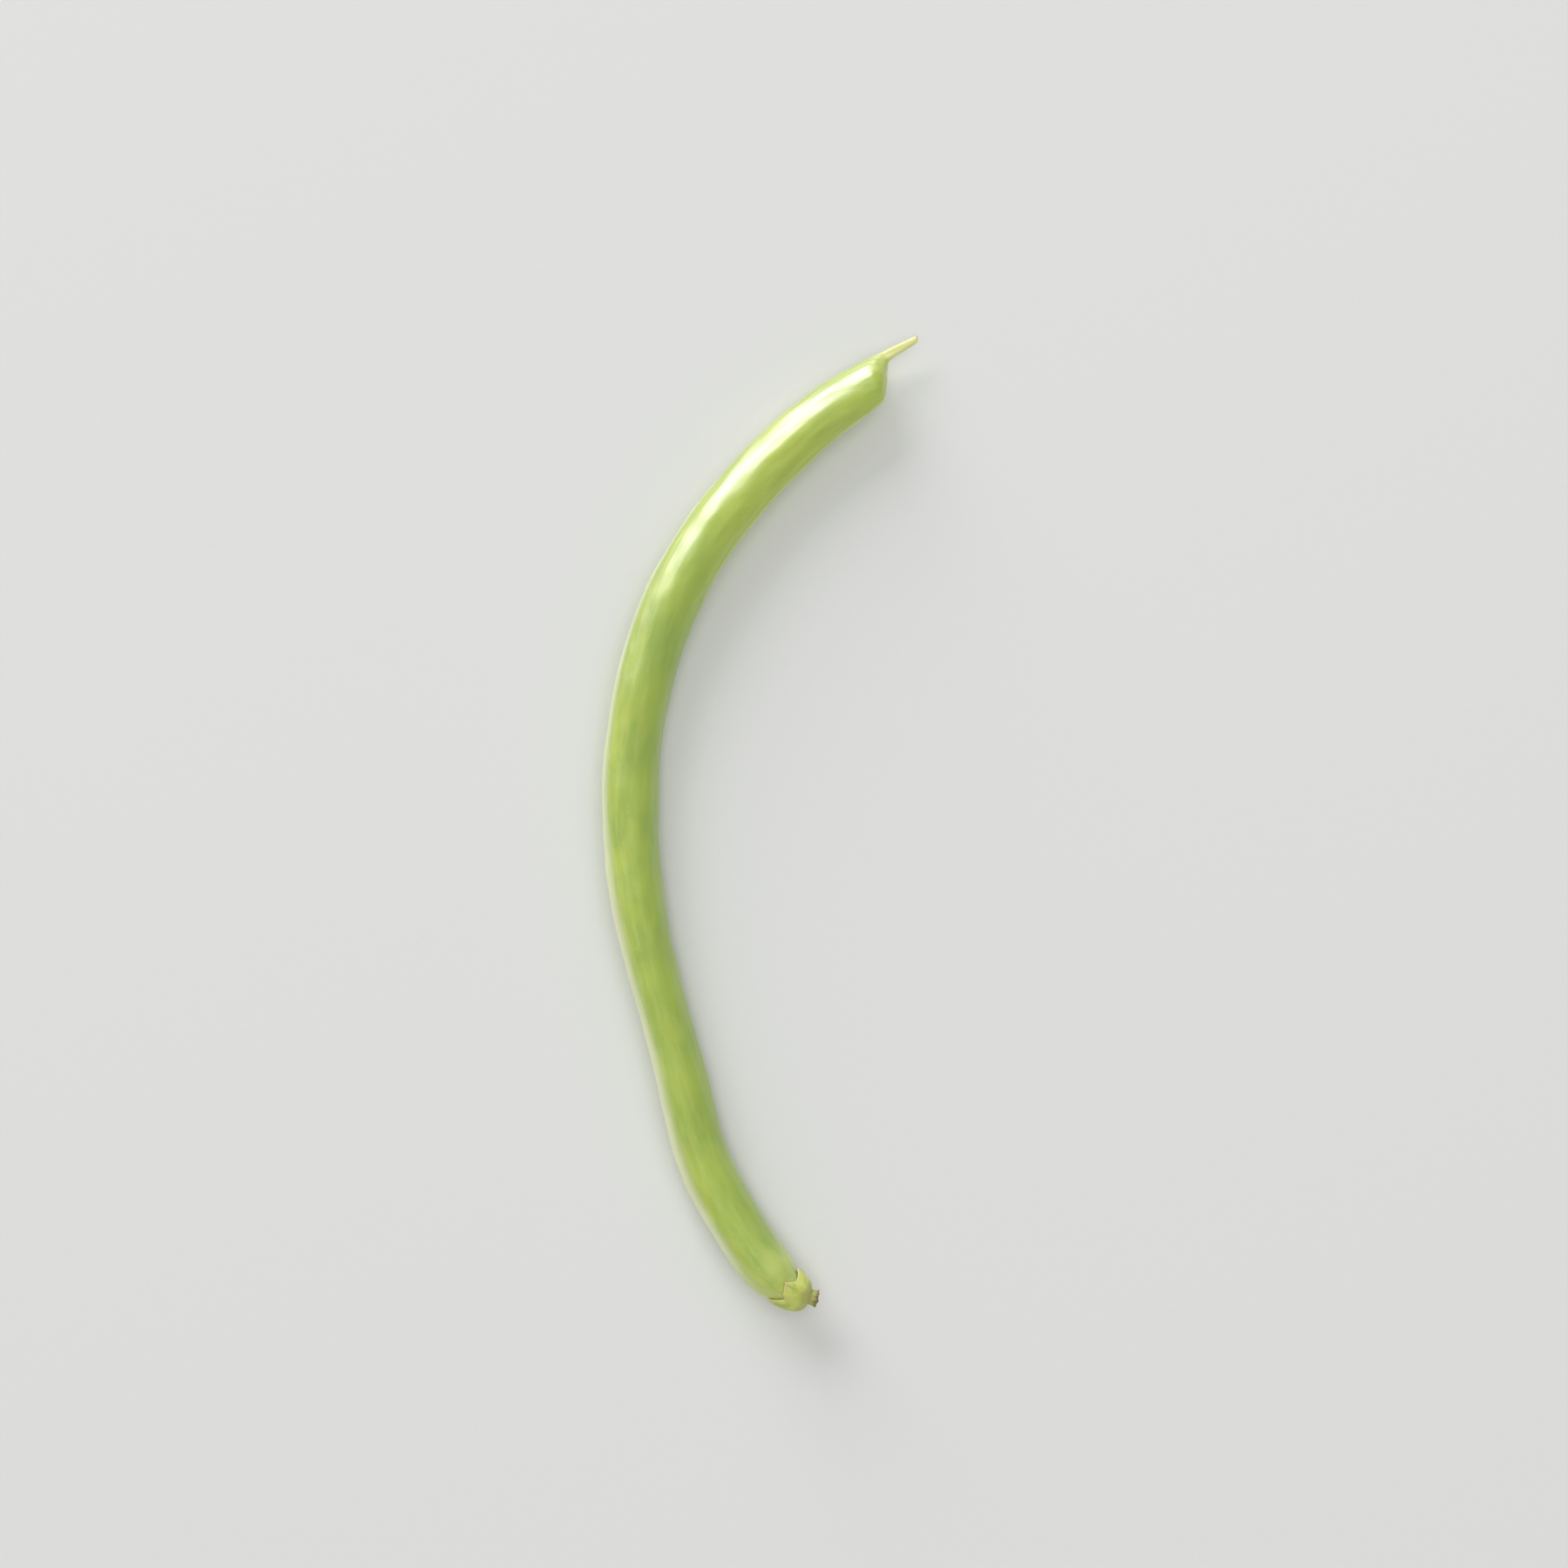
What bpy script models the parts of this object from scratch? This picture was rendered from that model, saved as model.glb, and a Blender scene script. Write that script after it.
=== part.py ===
"""One picked green bean: the bowed pod with its beak, the calyx that caps its stem end, and the snapped stalk.

The bean lies on its side on three low spots of its underside. Metres, +Z up, +Y towards the beaked tip,
with the origin at the bottom centre of the bean's box. Run it with: blender --background --python part.py
"""

import math

import bmesh
import bpy
import numpy as np

MM = 0.001

# The spine in plan, in millimetres. It starts just beyond the snapped end of the stalk and ends at the beak's tip.
SPINE_MM = (
    (8.6, -68.9),
    (4.2, -67.4),
    (0.85, -64.4),
    (-3.5, -58.05),
    (-7.4, -51.0),
    (-11.75, -36.0),
    (-15.85, -21.0),
    (-18.6, -5.8),
    (-18.75, 9.6),
    (-15.75, 24.95),
    (-9.55, 39.1),
    (0.2, 51.3),
    (11.95, 61.4),
    (24.25, 67.8),
)
SPINE_SAMPLES = 400

# Width of the pod from suture to suture, in millimetres. The first list counts from the rounded foot of the pod,
# the second from the start of the spine, and the third back from the tip, over the beak and its shoulder.
POD_FOOT = 2.7  # distance along the spine
STEM_WIDTHS = ((0.0, 0.0), (0.1, 2.4), (0.6, 3.6), (1.6, 4.7), (2.8, 5.6), (4.2, 6.7), (5.8, 7.5), (9.0, 8.0))
BODY_WIDTHS = ((17.0, 8.1), (48.0, 7.4), (75.0, 8.05), (92.0, 8.0), (118.0, 8.0), (135.0, 8.15))
TIP_WIDTHS = (
    (18.0, 7.9),
    (13.5, 7.75),
    (10.7, 7.45),
    (8.8, 6.95),
    (7.4, 5.4),
    (6.2, 3.2),
    (5.5, 1.9),
    (4.8, 1.55),
    (2.5, 1.25),
    (0.4, 0.9),
    (0.0, 0.0),
)
THICKNESS_SHARE = 0.84  # of the width, on the flat of the pod; the neck and the beak are round
ROUND_END = 14.0  # length over which each end goes from round to flat
TIP_THINNING = 0.26  # share of its thickness that the pod loses at its shoulder, just before the beak
TIP_THIN_AT = 8.0  # distance from the tip
TIP_THIN_REACH = 5.5

# Seeds swell both flat faces, and lift the two edges a little.
SEEDS = 9
FIRST_SEED = 24.0
SEED_PITCH = 14.5
SEED_HALF_LENGTH = 3.9
SEED_SWELL = 0.2
SEED_EDGE_SWELL = 0.07

# The two sutures are raised lines along the edges of the pod, each between two faint furrows.
SUTURE_HEIGHT = 0.2
SUTURE_HALF_WIDTH = 0.42
FURROW_DEPTH = 0.06

# The pod is turned on its spine and twists: its outer suture faces a little upwards along the stem's half,
# and a little downwards along the tip's half. Distance along the spine, and the angle.
ROLLS_DEG = ((0.0, 30.0), (55.0, 26.0), (95.0, 12.0), (125.0, -15.0), (163.0, -25.0))

# The underside waves gently: it meets the surface below the first, middle and last seeds, and both ends curl up.
REST_PITCH = 4 * SEED_PITCH
REST_RISE = 0.6
STEM_CURL = 1.2
TIP_CURL = 1.3
PRESS = 0.19  # how far each low spot is pressed flat

# Calyx: a cup of one even wall round the foot of the pod, with five pointed lobes of unlike lengths.
CUP_DEPTH = 2.1
LOBE_LENGTHS = (1.7, 1.3, 0.8, 1.4, 1.1)  # the first stands over the outer suture, the second on top
CALYX_WALL = 0.6
JOINT_GAP = 0.25

# Stalk: the stub of the flower stalk, flared where it snapped off.
SNAPPED_AT = 0.5  # distance along the spine
STALK_RADII = (1.25, 1.1, 1.05, 1.15)

POD_SIDES = 36
POD_RINGS = 92
CALYX_SIDES = 40
CALYX_RINGS = 16
SUTURE_CROWDING = 0.3  # draws the sides of the pod together at the sutures


def natural_spline(knots, values, at):
    """The smooth curve of even bending through the values at the knots, read at the places in at."""
    knots, values = np.asarray(knots, float), np.asarray(values, float)
    gap = np.diff(knots)
    rise = np.diff(values, axis=0) / gap[:, None]
    system = np.eye(len(knots))
    load = np.zeros_like(values)
    for i in range(1, len(knots) - 1):
        system[i, i - 1 : i + 2] = gap[i - 1], 2 * (gap[i - 1] + gap[i]), gap[i]
        load[i] = 6 * (rise[i] - rise[i - 1])
    bend = np.linalg.solve(system, load)
    i = np.clip(np.searchsorted(knots, at) - 1, 0, len(knots) - 2)
    near, far = (knots[i + 1] - at)[:, None], (at - knots[i])[:, None]
    span = gap[i][:, None]
    return (
        (bend[i] * near**3 + bend[i + 1] * far**3) / (6 * span)
        + (values[i] / span - bend[i] * span / 6) * near
        + (values[i + 1] / span - bend[i + 1] * span / 6) * far
    )


def even_curve(knots, values, at):
    """A curve through the values that never swings past them: each slope is the harmonic mean of its neighbours."""
    knots, values = np.asarray(knots, float), np.asarray(values, float)
    rise = np.diff(values) / np.diff(knots)
    slope = np.concatenate([rise[:1], np.zeros(len(rise) - 1), rise[-1:]])
    same_way = rise[:-1] * rise[1:] > 0
    slope[1:-1][same_way] = 2 / (1 / rise[:-1][same_way] + 1 / rise[1:][same_way])
    i = np.clip(np.searchsorted(knots, at) - 1, 0, len(knots) - 2)
    span = knots[i + 1] - knots[i]
    t = np.clip((at - knots[i]) / span, 0, 1)
    ease = t * t * (3 - 2 * t)
    return (
        values[i] * (1 - ease)
        + values[i + 1] * ease
        + span * (slope[i] * t * (1 - t) ** 2 - slope[i + 1] * t * t * (1 - t))
    )


def spine():
    """(distance, point, outward side) along the spine in plan, evenly spaced, in millimetres."""
    points = np.array(SPINE_MM)
    knots = np.concatenate([[0], np.cumsum(np.linalg.norm(np.diff(points, axis=0), axis=1))])
    line = natural_spline(knots, points, np.linspace(0, knots[-1], SPINE_SAMPLES))
    distance = np.concatenate([[0], np.cumsum(np.linalg.norm(np.diff(line, axis=0), axis=1))])
    even = np.linspace(0, distance[-1], SPINE_SAMPLES)
    line = np.stack([np.interp(even, distance, line[:, axis]) for axis in range(2)], axis=1)
    tangent = np.gradient(line, even, axis=0)
    tangent /= np.linalg.norm(tangent, axis=1)[:, None]
    return even, line, np.stack([-tangent[:, 1], tangent[:, 0]], axis=1)


DISTANCE, LINE, SIDE = spine()
LENGTH = DISTANCE[-1]


def width_at(s):
    """Suture to suture width of the pod at distance s along the spine."""
    knots = (
        [(POD_FOOT + d, width) for d, width in STEM_WIDTHS]
        + list(BODY_WIDTHS)
        + [(LENGTH - d, width) for d, width in TIP_WIDTHS]
    )
    return even_curve(*zip(*knots), s)


def body_width_at(s):
    """The width as it would be if neither end of the pod drew in."""
    return even_curve(*zip(*BODY_WIDTHS), np.clip(s, BODY_WIDTHS[0][0], BODY_WIDTHS[-1][0]))


def flatness_at(s):
    """0 where the pod is round, at its foot and its beak, and 1 along its flat body."""
    inward = np.minimum(s - POD_FOOT, LENGTH - s) / ROUND_END
    inward = np.clip(inward, 0, 1)
    return inward * inward * (3 - 2 * inward)


def thickness_share_at(s):
    """Thickness as a share of the width: 1 at the foot and the beak, less on the body, least at the shoulder."""
    share = 1 + (THICKNESS_SHARE - 1) * flatness_at(s)
    shoulder = np.exp(-(((LENGTH - s - TIP_THIN_AT) / TIP_THIN_REACH) ** 2))
    return share * (1 - TIP_THINNING * shoulder)


def seeds_at(s):
    """1 over the middle of each seed, falling to 0 between seeds."""
    places = FIRST_SEED + SEED_PITCH * np.arange(SEEDS)
    return np.exp(-(((s[..., None] - places) / SEED_HALF_LENGTH) ** 2)).sum(axis=-1)


def roll_at(s):
    """Angle, in radians, by which the outer suture is raised above the level of the spine."""
    return np.radians(even_curve(*zip(*ROLLS_DEG), s))


def height_at(s):
    """Height of the spine. The body's lowest line follows the wave of the underside, whose low spots dip by PRESS."""
    last_rest = FIRST_SEED + 2 * REST_PITCH
    wave = REST_RISE * (1 - np.cos(2 * math.pi * (s - FIRST_SEED) / REST_PITCH)) / 2
    stem_curl = STEM_CURL * (np.clip(FIRST_SEED - s, 0, None) / FIRST_SEED) ** 2
    tip_curl = TIP_CURL * (np.clip(s - last_rest, 0, None) / (LENGTH - last_rest)) ** 2
    half_width = body_width_at(s) / 2
    half_thickness = half_width * THICKNESS_SHARE + SEED_SWELL
    roll = roll_at(s)
    lowest = np.hypot(half_width * np.sin(roll), half_thickness * np.cos(roll))
    return lowest - PRESS + wave + stem_curl + tip_curl


def pod_surface(s, angle):
    """Points of the pod, in millimetres, at distance s and at the angle round it. Angle 0 is the outer suture."""
    flat = flatness_at(s)
    seed = seeds_at(s)
    half_width = width_at(s) / 2
    half_thickness = half_width * thickness_share_at(s)
    from_suture = np.abs((angle + math.pi / 2) % math.pi - math.pi / 2) * half_width
    crest = np.exp(-((from_suture / SUTURE_HALF_WIDTH) ** 2))
    furrow = np.exp(-((from_suture / SUTURE_HALF_WIDTH - 2.4) ** 2))
    suture = flat * (SUTURE_HEIGHT * crest - FURROW_DEPTH * furrow)
    across = (half_width + suture + SEED_EDGE_SWELL * seed) * np.cos(angle)
    through = (half_thickness + suture + SEED_SWELL * seed * np.abs(np.sin(angle))) * np.sin(angle)
    # The beak grows from the outer edge, so the section moves outwards as it narrows towards the tip.
    towards_tip = np.clip((s - BODY_WIDTHS[-1][0]) / (LENGTH - TIP_WIDTHS[0][0] - BODY_WIDTHS[-1][0]), 0, 1)
    across = across + towards_tip * (TIP_WIDTHS[0][1] / 2 - half_width)
    roll = roll_at(s)
    outward = across * np.cos(roll) - through * np.sin(roll)
    upward = across * np.sin(roll) + through * np.cos(roll)
    centre = np.stack([np.interp(s, DISTANCE, LINE[:, axis]) for axis in range(2)], axis=-1)
    side = np.stack([np.interp(s, DISTANCE, SIDE[:, axis]) for axis in range(2)], axis=-1)
    plan = centre + side * outward[..., None]
    return np.concatenate([plan, (height_at(s) + upward)[..., None]], axis=-1)


def crowded(turn):
    """The angle round the pod for an even turn, with the sides drawn together at both sutures."""
    return turn - SUTURE_CROWDING * np.sin(2 * turn)


def sphere_mesh(name, sides, rings, keep=None):
    """(mesh, turn, climb) of a sphere primitive: the turn round its axis and its climb from pole to pole, 0 to 1."""
    form = bmesh.new()
    bmesh.ops.create_uvsphere(form, u_segments=sides, v_segments=rings, radius=1.0)
    if keep is not None:
        bmesh.ops.delete(form, geom=[v for v in form.verts if not keep(v.co)], context="VERTS")
    mesh = bpy.data.meshes.new(name)
    form.to_mesh(mesh)
    form.free()
    points = np.array([v.co for v in mesh.vertices])
    turn = np.arctan2(points[:, 1], points[:, 0])
    climb = np.arcsin(np.clip(points[:, 2], -1, 1)) / math.pi + 0.5
    return mesh, turn, climb


def place_points(mesh, points_mm):
    """Moves the mesh's vertices to the given points."""
    mesh.vertices.foreach_set("co", (points_mm * MM).ravel())
    mesh.update()


def material(name, colour, roughness):
    """A plain finish for one piece."""
    made = bpy.data.materials.new(name)
    made.use_nodes = True
    shader = made.node_tree.nodes["Principled BSDF"]
    shader.inputs["Base Color"].default_value = (*colour, 1.0)
    shader.inputs["Roughness"].default_value = roughness
    shader.inputs["Metallic"].default_value = 0.0
    return made


def add_piece(name, data, finish, collection, parent):
    """An object for one sub-part, in the bean's collection and under its empty."""
    piece = bpy.data.objects.new(name, data)
    data.materials.append(finish)
    collection.objects.link(piece)
    piece.parent = parent
    return piece


def build_pod(collection, parent):
    """The pod: a sphere drawn out along the spine, with its rings crowded at both ends."""
    mesh, turn, climb = sphere_mesh("pod", POD_SIDES, POD_RINGS)
    s = POD_FOOT + (LENGTH - POD_FOOT) * (1 - np.cos(math.pi * climb)) / 2
    points = pod_surface(s, crowded(turn))
    points[:, 2] = np.maximum(points[:, 2], 0.0)
    place_points(mesh, points)
    mesh.shade_smooth()
    return add_piece("pod", mesh, material("pod_skin", (0.33, 0.45, 0.09), 0.45), collection, parent)


def calyx_rim(angle):
    """Distance from the foot of the pod to the rim of the calyx, where the lobes stand."""
    turn = angle * len(LOBE_LENGTHS) / (2 * math.pi)
    length = np.take(LOBE_LENGTHS, np.rint(turn).astype(int), mode="wrap")
    lobe = np.abs(turn % 1 - 0.5) * 2
    return CUP_DEPTH + length * lobe**1.6


def build_calyx(collection, parent):
    """The calyx: the foot of the pod's own surface, moved out by the gap and given an even wall."""
    mesh, turn, climb = sphere_mesh("calyx", CALYX_SIDES, CALYX_RINGS, keep=lambda point: point.z < 0.01)
    reach = (2 * climb) ** 1.6
    s = POD_FOOT + calyx_rim(turn) * reach
    place_points(mesh, pod_surface(s, turn))
    normals = np.array([v.normal for v in mesh.vertices])
    place_points(mesh, pod_surface(s, turn) + normals * JOINT_GAP)
    mesh.shade_smooth()
    piece = add_piece("calyx", mesh, material("calyx_green", (0.52, 0.55, 0.2), 0.6), collection, parent)
    wall = piece.modifiers.new("wall", "SOLIDIFY")
    wall.thickness = CALYX_WALL * MM
    wall.offset = 1.0
    wall.use_even_offset = True
    return piece


def build_stalk(collection, parent):
    """The stalk: a short curve with round bevel and filled ends, from the snapped end to the calyx."""
    top = POD_FOOT - JOINT_GAP - CALYX_WALL - JOINT_GAP
    s = np.linspace(SNAPPED_AT, top, len(STALK_RADII))
    # At the foot of the pod both ends of its section are the spine itself, so the stalk carries straight on.
    plan = np.stack([np.interp(s, DISTANCE, LINE[:, axis]) for axis in range(2)], axis=-1)
    curve = bpy.data.curves.new("stalk", "CURVE")
    curve.dimensions = "3D"
    curve.bevel_depth = MM
    curve.bevel_resolution = 3
    curve.use_fill_caps = True
    line = curve.splines.new("POLY")
    line.points.add(len(s) - 1)
    for point, (x, y), z, radius in zip(line.points, plan, height_at(s), STALK_RADII):
        point.co = (x * MM, y * MM, z * MM, 1.0)
        point.radius = radius
    return add_piece("stalk", curve, material("stalk_brown", (0.24, 0.19, 0.08), 0.8), collection, parent)


def clear_scene():
    """Removes every object that the file opened with."""
    for thing in list(bpy.data.objects):
        bpy.data.objects.remove(thing)


def centre_on_origin(pieces, parent):
    """Moves the parent so that the bottom centre of all the pieces together is the origin."""
    bpy.context.view_layer.update()
    graph = bpy.context.evaluated_depsgraph_get()
    corners = []
    for piece in pieces:
        whole = piece.evaluated_get(graph)
        corners += [whole.matrix_world @ corner.co for corner in whole.to_mesh().vertices]
    points = np.array(corners)
    low, high = points.min(axis=0), points.max(axis=0)
    parent.location = (-(low[0] + high[0]) / 2, -(low[1] + high[1]) / 2, -low[2])


def main():
    clear_scene()
    bean = bpy.data.collections.new("green_bean")
    bpy.context.scene.collection.children.link(bean)
    centre = bpy.data.objects.new("bean_centre", None)
    bean.objects.link(centre)
    pieces = [build(bean, centre) for build in (build_pod, build_calyx, build_stalk)]
    centre_on_origin(pieces, centre)


main()
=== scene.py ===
"""The looks of one picked green bean: fine skins for its pod, calyx and stalk, in a pale studio.

The camera looks straight down. Sizes are in millimetres until a mesh is made, and the bean lies where its
solids do.
"""

import logging
import math
from dataclasses import asdict, dataclass
from enum import Enum
from functools import cached_property

import bpy
import numpy as np
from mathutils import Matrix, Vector


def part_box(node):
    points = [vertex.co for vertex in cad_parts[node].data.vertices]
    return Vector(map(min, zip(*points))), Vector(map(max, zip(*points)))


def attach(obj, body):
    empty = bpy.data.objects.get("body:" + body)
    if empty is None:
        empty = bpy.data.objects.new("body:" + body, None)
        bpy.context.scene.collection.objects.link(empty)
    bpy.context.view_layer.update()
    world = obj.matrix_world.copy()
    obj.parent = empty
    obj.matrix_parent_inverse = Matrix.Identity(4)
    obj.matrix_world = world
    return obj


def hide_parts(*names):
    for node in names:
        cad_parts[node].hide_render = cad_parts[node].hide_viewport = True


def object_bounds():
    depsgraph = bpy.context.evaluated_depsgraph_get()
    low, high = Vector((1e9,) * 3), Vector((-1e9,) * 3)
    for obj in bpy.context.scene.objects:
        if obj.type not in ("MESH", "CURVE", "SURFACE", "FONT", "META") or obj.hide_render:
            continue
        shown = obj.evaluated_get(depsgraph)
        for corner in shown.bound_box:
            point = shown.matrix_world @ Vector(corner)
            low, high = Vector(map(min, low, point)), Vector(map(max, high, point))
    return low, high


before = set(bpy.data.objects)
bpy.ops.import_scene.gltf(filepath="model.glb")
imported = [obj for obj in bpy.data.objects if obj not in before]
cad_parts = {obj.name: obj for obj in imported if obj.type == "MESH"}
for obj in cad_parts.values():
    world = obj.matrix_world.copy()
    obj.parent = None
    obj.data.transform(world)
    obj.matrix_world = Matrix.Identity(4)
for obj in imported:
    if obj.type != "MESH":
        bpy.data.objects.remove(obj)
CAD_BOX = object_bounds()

LOG = logging.getLogger("green_bean")
MM = 0.001
ROOT = "root"
Colour = tuple[float, float, float]
Table = tuple[tuple[float, float], ...]
Node, Socket, Tree = bpy.types.Node, bpy.types.NodeSocket, bpy.types.NodeTree
Inputs = dict[str | int, object]
Array = np.ndarray


def smooth_step(value: Array) -> Array:
    """Ease a value that runs from 0 to 1: three squares less two cubes, held at 0 and 1 outside.

    Args:
        value: Numbers of any shape.

    Returns:
        The eased numbers.
    """
    held = np.clip(value, 0.0, 1.0)
    return held * held * (3 - 2 * held)


def natural_spline(knots: Array, values: Array, at: Array) -> Array:
    """Run a curve of even bending through points: cubics whose slope and bend agree at every knot.

    Args:
        knots: Rising places of the points along the curve.
        values: The points.
        at: Places where the curve is read.

    Returns:
        A point for each place in at.
    """
    gap = np.diff(knots)
    rise = np.diff(values, axis=0) / gap[:, None]
    count = len(knots)
    inner = np.arange(1, count - 1)
    system = np.eye(count)
    system[inner, inner - 1] = gap[:-1]
    system[inner, inner] = 2 * (gap[:-1] + gap[1:])
    system[inner, inner + 1] = gap[1:]
    load = np.zeros_like(values)
    load[inner] = 6 * np.diff(rise, axis=0)
    bend = np.linalg.solve(system, load)
    i = np.clip(np.searchsorted(knots, at) - 1, 0, count - 2)
    near, far = (knots[i + 1] - at)[:, None], (at - knots[i])[:, None]
    span = gap[i][:, None]
    return (
        (bend[i] * near**3 + bend[i + 1] * far**3) / (6 * span)
        + (values[i] / span - bend[i] * span / 6) * near
        + (values[i + 1] / span - bend[i + 1] * span / 6) * far
    )


def even_curve(table: Table, at: Array) -> Array:
    """Run a curve through a table that never swings past its values.

    It is a cubic between places, and its slope at each is the harmonic mean of the rises beside it.

    Args:
        table: Pairs of place and value, with rising places.
        at: Places where the curve is read.

    Returns:
        A value for each place in at.
    """
    knots, values = np.array(table, float).T
    rise = np.diff(values) / np.diff(knots)
    slope = np.concatenate([rise[:1], np.zeros(len(rise) - 1), rise[-1:]])
    same_way = rise[:-1] * rise[1:] > 0
    slope[1:-1][same_way] = 2 / (1 / rise[:-1][same_way] + 1 / rise[1:][same_way])
    i = np.clip(np.searchsorted(knots, at) - 1, 0, len(knots) - 2)
    span = knots[i + 1] - knots[i]
    t = np.clip((at - knots[i]) / span, 0, 1)
    ease = smooth_step(t)
    return (
        values[i] * (1 - ease)
        + values[i + 1] * ease
        + span * (slope[i] * t * (1 - t) ** 2 - slope[i + 1] * t * t * (1 - t))
    )


@dataclass(frozen=True)
class Ripple:
    """A smooth, seeded unevenness: a sum of sine waves whose directions and phases are drawn at random."""

    seed: int
    size: tuple[float, float, float]  # typical length of one rise and fall along each axis, in millimetres
    waves: int = 28

    def at(self, points: Array) -> Array:
        """Read the unevenness: the mean of the waves, scaled so that it mostly lies between -1 and 1.

        Args:
            points: Places in millimetres, with three numbers last.

        Returns:
            One number for each place.
        """
        draw = np.random.default_rng(self.seed)
        ways = draw.normal(size=(self.waves, 3)) * (math.pi / np.array(self.size))
        phases = draw.uniform(0, 2 * math.pi, self.waves)
        total = np.zeros(points.shape[:-1])
        for way, phase in zip(ways, phases):
            total += np.sin(points @ way + phase)
        return total / math.sqrt(self.waves)


@dataclass(frozen=True)
class PodForm:
    """The pod's form in millimetres, as its solid has it: an oval section carried along a bowed spine.

    Places along it are distances s from the spine's start, and angles round it start at the outer suture.
    """

    spine_points: Table = (
        (8.6, -68.9), (4.2, -67.4), (0.85, -64.4), (-3.5, -58.05), (-7.4, -51.0),
        (-11.75, -36.0), (-15.85, -21.0), (-18.6, -5.8), (-18.75, 9.6), (-15.75, 24.95),
        (-9.55, 39.1), (0.2, 51.3), (11.95, 61.4), (24.25, 67.8),
    )
    spine_samples: int = 400
    foot: float = 2.7  # distance along the spine at which the pod begins
    stem_widths: Table = (  # distance from the foot, and width
        (0.0, 0.0), (0.1, 2.4), (0.6, 3.6), (1.6, 4.7), (2.8, 5.6), (4.2, 6.7), (5.8, 7.5), (9.0, 8.0),
    )
    body_widths: Table = (  # distance along the spine, and width
        (17.0, 8.1), (48.0, 7.4), (75.0, 8.05), (92.0, 8.0), (118.0, 8.0), (135.0, 8.15),
    )
    tip_widths: Table = (  # distance back from the beak's tip, and width
        (18.0, 7.9), (13.5, 7.75), (10.7, 7.45), (8.8, 6.95), (7.4, 5.4), (6.2, 3.2),
        (5.5, 1.9), (4.8, 1.55), (2.5, 1.25), (0.4, 0.9), (0.0, 0.0),
    )
    thickness_share: float = 0.84
    round_end: float = 14.0  # length over which the section goes from round to flat
    tip_thinning: float = 0.26
    tip_thin_at: float = 8.0
    tip_thin_reach: float = 5.5
    seeds: int = 9
    first_seed: float = 24.0
    seed_pitch: float = 14.5
    seed_half_length: float = 3.9
    seed_swell: float = 0.2
    seed_edge_swell: float = 0.07
    suture_height: float = 0.2
    suture_half_width: float = 0.42
    furrow_depth: float = 0.06
    furrow_at: float = 2.4  # distance from it, in suture half widths
    rolls_deg: Table = ((0.0, 30.0), (55.0, 26.0), (95.0, 12.0), (125.0, -15.0), (163.0, -25.0))
    rest_rise: float = 0.6
    stem_curl: float = 1.2
    tip_curl: float = 1.3
    press: float = 0.19  # how far the low seeds are pressed flat
    normal_step: float = 0.02

    @cached_property
    def spine(self) -> tuple[Array, Array, Array]:
        """Work out the spine: a curve of even bending through its points, read at even distances.

        Returns:
            Distances along it, its points in plan, and the level way out of its bow at each.
        """
        points = np.array(self.spine_points)
        knots = np.concatenate([[0], np.cumsum(np.linalg.norm(np.diff(points, axis=0), axis=1))])
        line = natural_spline(knots, points, np.linspace(0, knots[-1], self.spine_samples))
        distance = np.concatenate([[0], np.cumsum(np.linalg.norm(np.diff(line, axis=0), axis=1))])
        even = np.linspace(0, distance[-1], self.spine_samples)
        line = np.stack([np.interp(even, distance, line[:, axis]) for axis in range(2)], axis=1)
        tangent = np.gradient(line, even, axis=0)
        tangent /= np.linalg.norm(tangent, axis=1)[:, None]
        return even, line, np.stack([-tangent[:, 1], tangent[:, 0]], axis=1)

    @property
    def length(self) -> float:
        """Length of the spine, which starts just beyond the snapped stalk and ends at the beak's tip."""
        return float(self.spine[0][-1])

    def along_spine(self, s: Array, which: int) -> Array:
        """Read the spine's points (which is 1) or its ways out (which is 2) at distances s."""
        distance, values = self.spine[0], self.spine[which]
        return np.stack([np.interp(s, distance, values[:, axis]) for axis in range(2)], axis=-1)

    def width(self, s: Array) -> Array:
        """Width from suture to suture: one even curve through the stem's, the body's and the tip's tables."""
        table = (
            tuple((self.foot + d, w) for d, w in self.stem_widths)
            + self.body_widths
            + tuple((self.length - d, w) for d, w in self.tip_widths)
        )
        return even_curve(table, s)

    def flatness(self, s: Array) -> Array:
        """How flat the section is: 0 at the round foot and beak, easing to 1 along the body."""
        return smooth_step(np.minimum(s - self.foot, self.length - s) / self.round_end)

    def share_of_width(self, s: Array) -> Array:
        """Thickness over width: 1 less a share for flatness, and less again in a bell curve by the tip."""
        shoulder = np.exp(-(((self.length - s - self.tip_thin_at) / self.tip_thin_reach) ** 2))
        return (1 + (self.thickness_share - 1) * self.flatness(s)) * (1 - self.tip_thinning * shoulder)

    def seed_mask(self, s: Array) -> Array:
        """A row of bell curves, 1 over the middle of each seed."""
        places = self.first_seed + self.seed_pitch * np.arange(self.seeds)
        return np.exp(-(((s[..., None] - places) / self.seed_half_length) ** 2)).sum(axis=-1)

    def roll(self, s: Array) -> Array:
        """Angle by which the outer suture is raised: an even curve through the table of rolls."""
        return np.radians(even_curve(self.rolls_deg, s))

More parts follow.
